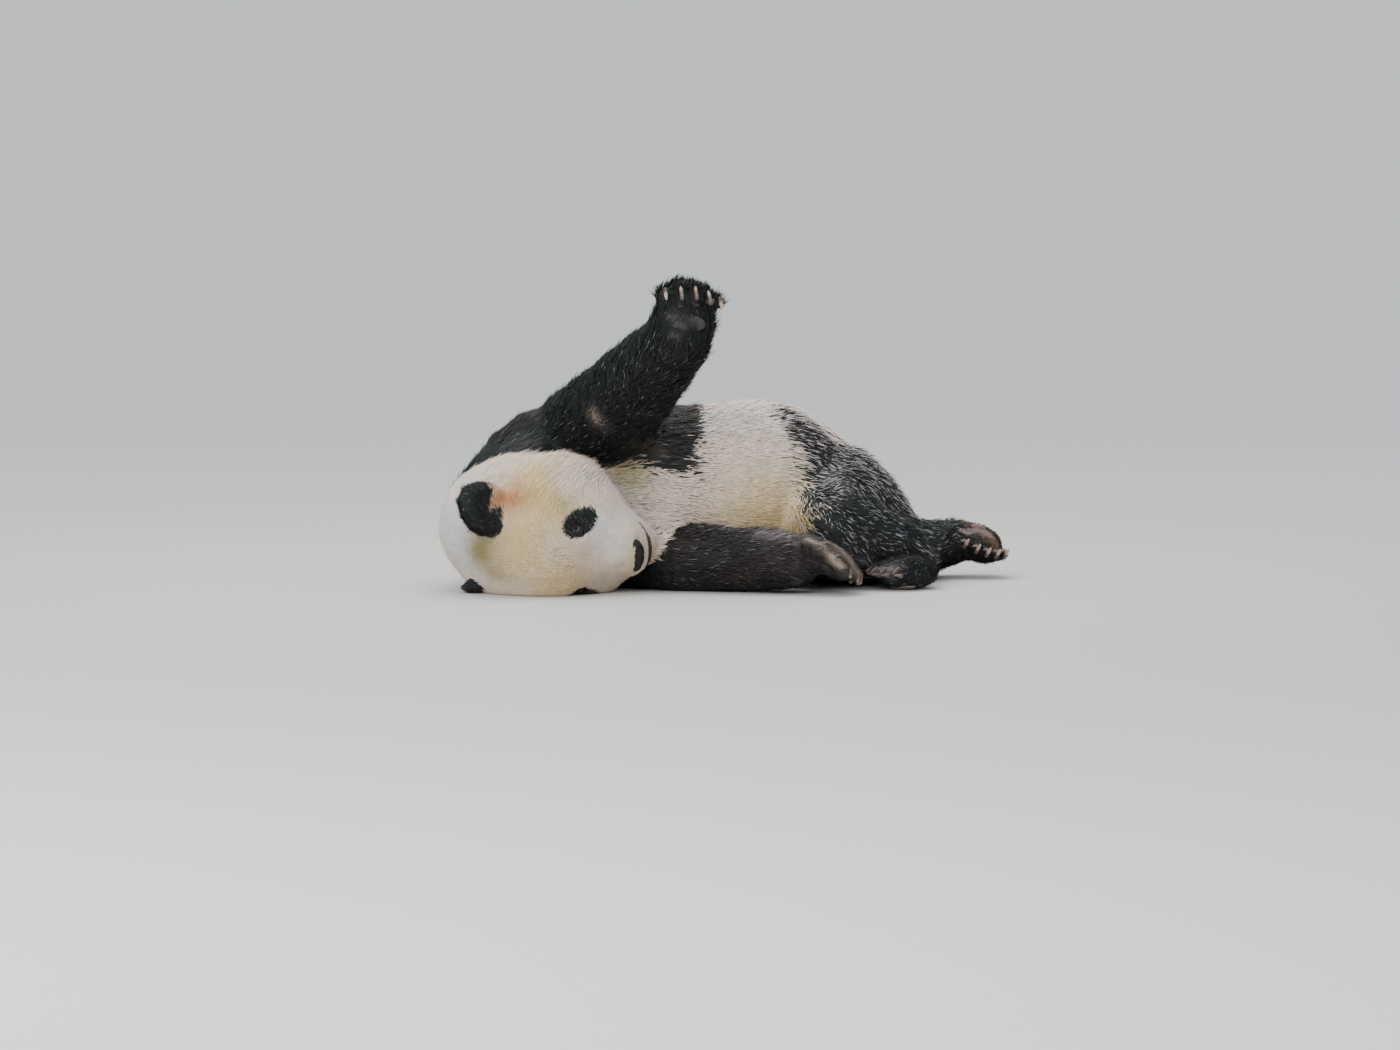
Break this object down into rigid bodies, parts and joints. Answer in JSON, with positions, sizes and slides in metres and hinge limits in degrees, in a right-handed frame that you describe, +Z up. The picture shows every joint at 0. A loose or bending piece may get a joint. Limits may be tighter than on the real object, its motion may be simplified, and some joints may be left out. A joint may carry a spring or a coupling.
{
  "type": "giant panda",
  "caption": "Life-size giant panda lying on its right side with its head on the floor and its left foreleg raised, a still model in a thick black and white coat",
  "frame": {"origin": "middle of the underside of the bounding box, on the floor", "axes": "+X runs from the head towards the rump, +Y towards the animal's back, +Z up"},
  "size_m": [1.147, 0.6328, 0.6106],
  "materials": {
    "white_coat": "long soft coat",
    "black_coat": "long soft coat",
    "bare_skin": "moist, fine-grained",
    "horn": "worn horn",
    "eye": "wet gloss"
  },
  "bodies": {
    "root": {"head": "white_coat", "belly": "white_coat", "rump": "white_coat", "tail": "white_coat", "ear_left": "black_coat", "ear_right": "black_coat", "neck": "black_coat", "chest": "black_coat", "upperarm_left": "black_coat", "forearm_left": "black_coat", "forepaw_left": "black_coat", "upperarm_right": "black_coat", "forearm_right": "black_coat", "forepaw_right": "black_coat", "thigh_left": "black_coat", "shank_left": "black_coat", "hindpaw_left": "black_coat", "thigh_right": "black_coat", "shank_right": "black_coat", "hindpaw_right": "black_coat", "nose": "bare_skin", "eye_left": "eye", "eye_right": "eye", "claw_forepaw_left_1": "horn", "claw_forepaw_left_2": "horn", "claw_forepaw_left_3": "horn", "claw_forepaw_left_4": "horn", "claw_forepaw_left_5": "horn", "claw_forepaw_right_1": "horn", "claw_forepaw_right_2": "horn", "claw_forepaw_right_3": "horn", "claw_forepaw_right_4": "horn", "claw_forepaw_right_5": "horn", "claw_hindpaw_left_1": "horn", "claw_hindpaw_left_2": "horn", "claw_hindpaw_left_3": "horn", "claw_hindpaw_left_4": "horn", "claw_hindpaw_left_5": "horn", "claw_hindpaw_right_1": "horn", "claw_hindpaw_right_2": "horn", "claw_hindpaw_right_3": "horn", "claw_hindpaw_right_4": "horn", "claw_hindpaw_right_5": "horn"}
  },
  "joints": []
}
